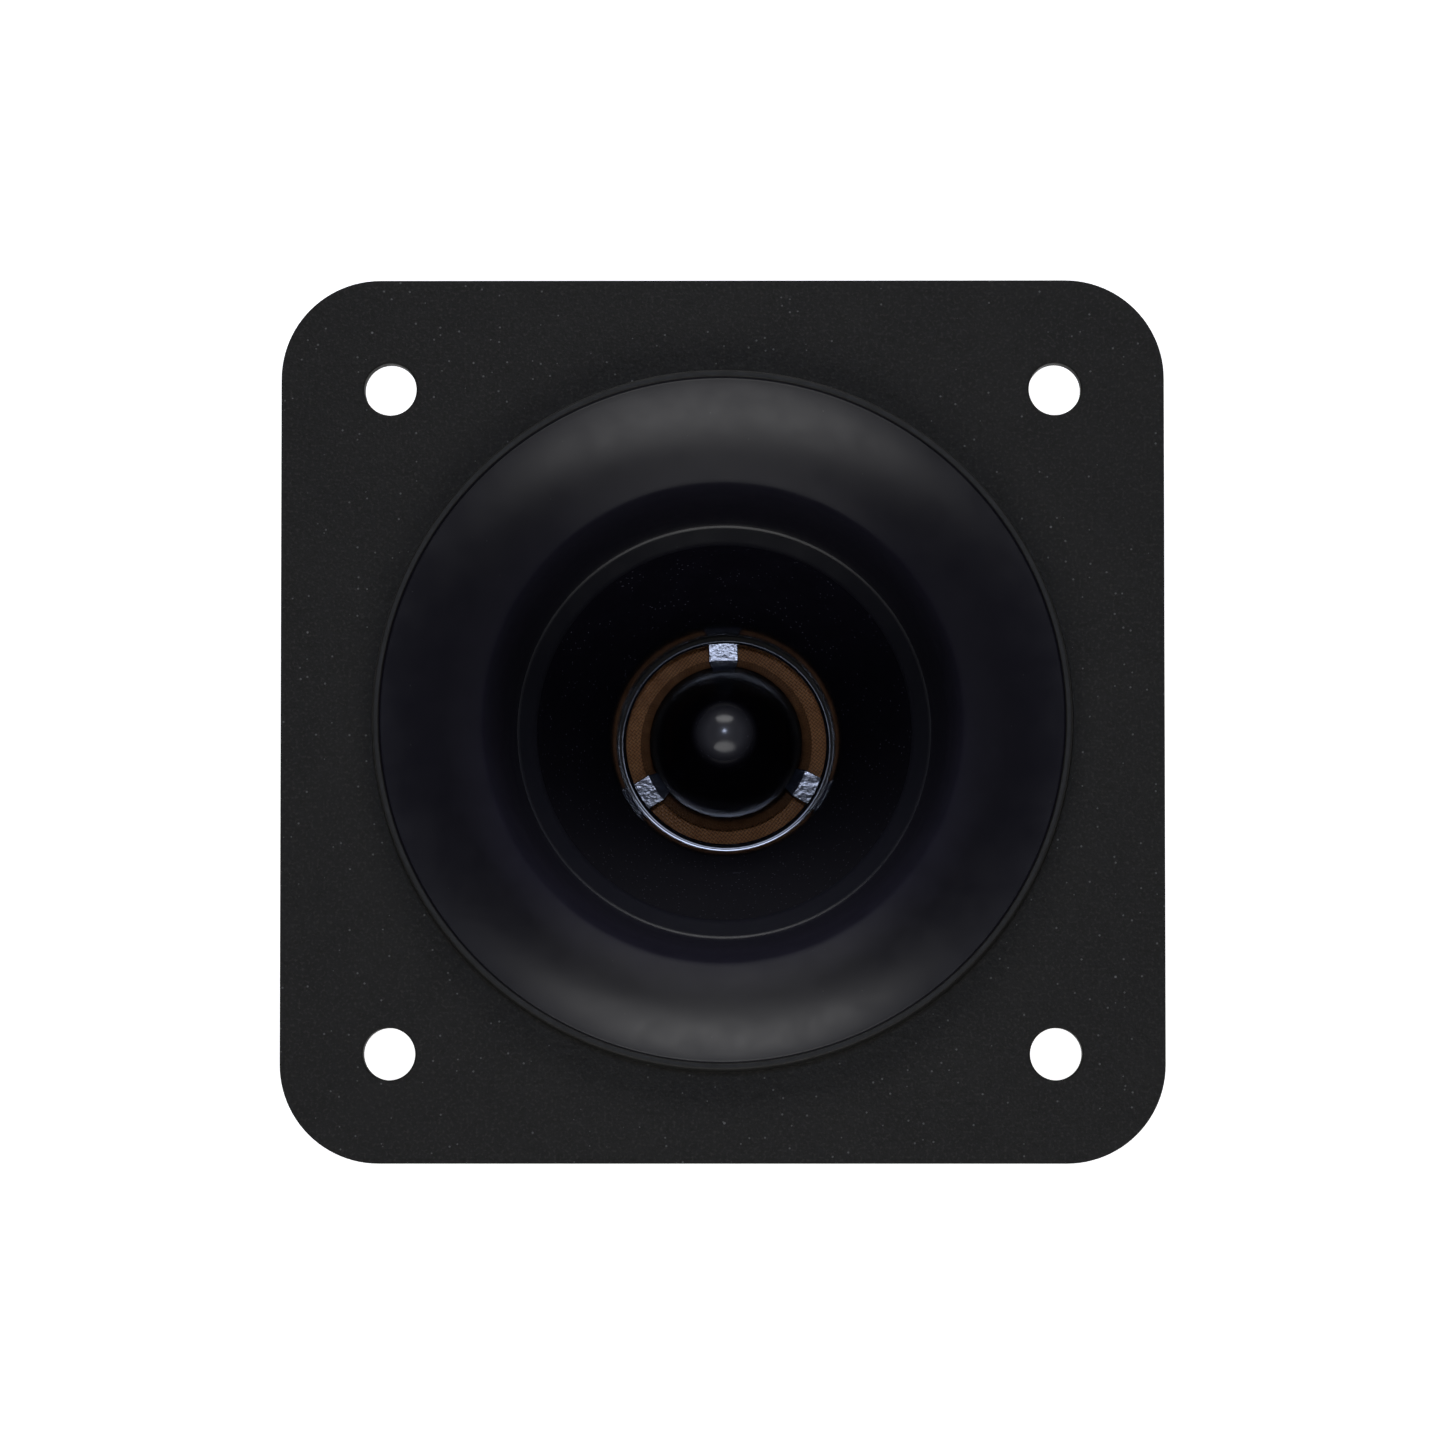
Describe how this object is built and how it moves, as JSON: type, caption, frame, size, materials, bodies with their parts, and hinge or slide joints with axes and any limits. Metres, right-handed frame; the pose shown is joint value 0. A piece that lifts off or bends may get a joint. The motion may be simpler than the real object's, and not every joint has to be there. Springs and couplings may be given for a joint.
{
  "type": "car horn tweeter",
  "caption": "Horn-loaded car tweeter with a square flange, round flared mouth, three-legged phase plug, woven cloth dome and ferrite ring motor.",
  "frame": {"origin": "centre of the rear face of the yoke, on which the tweeter stands", "axes": "+Z along the acoustic axis, the way the horn fires; +X towards the positive terminal; +Y up as the flange is seen from the front"},
  "size_m": [0.085, 0.085, 0.0764],
  "materials": {
    "flange_plastic": "fine-grained black moulding",
    "horn_plastic": "polished black moulding",
    "plug_plastic": "polished black moulding",
    "frame_plastic": "satin black moulding",
    "phenolic_cloth": "resin-set woven cloth",
    "fibre_board": "pressed fibre",
    "former_film": "amber film",
    "copper_wire": "enamelled copper wire",
    "tinned_brass": "tinned",
    "zinc_steel": "zinc plated",
    "ferrite": "ground sintered ferrite",
    "felt": "grey felt",
    "black_steel": "black-oxide steel"
  },
  "bodies": {
    "tweeter": {"horn_flange": "flange_plastic", "throat_horn": "horn_plastic", "phase_plug": "plug_plastic", "surround": "phenolic_cloth", "surround_clamp_ring": "fibre_board", "lead_wire_positive": "copper_wire", "lead_wire_negative": "copper_wire", "diaphragm_frame": "frame_plastic", "terminal_positive": "tinned_brass", "terminal_negative": "tinned_brass", "rivet_positive": "tinned_brass", "rivet_negative": "tinned_brass", "yoke": "zinc_steel", "front_plate": "zinc_steel", "locating_pin_1": "zinc_steel", "locating_pin_2": "zinc_steel", "magnet": "ferrite", "motor_gasket": "fibre_board", "pole_pad": "felt", "motor_screw_1": "black_steel", "motor_screw_2": "black_steel", "motor_screw_3": "black_steel", "motor_screw_4": "black_steel"},
    "moving_coil": {"diaphragm_dome": "phenolic_cloth", "coil_former": "former_film", "voice_coil": "copper_wire"}
  },
  "joints": [
    {"name": "diaphragm_travel", "type": "slide", "parent": "tweeter", "child": "moving_coil", "axis": [0, 0, 1], "range_m": [-0.0003, 0.0003], "stiffness_N_per_m": 500, "deforming": ["surround", "lead_wire_positive", "lead_wire_negative"]}
  ]
}
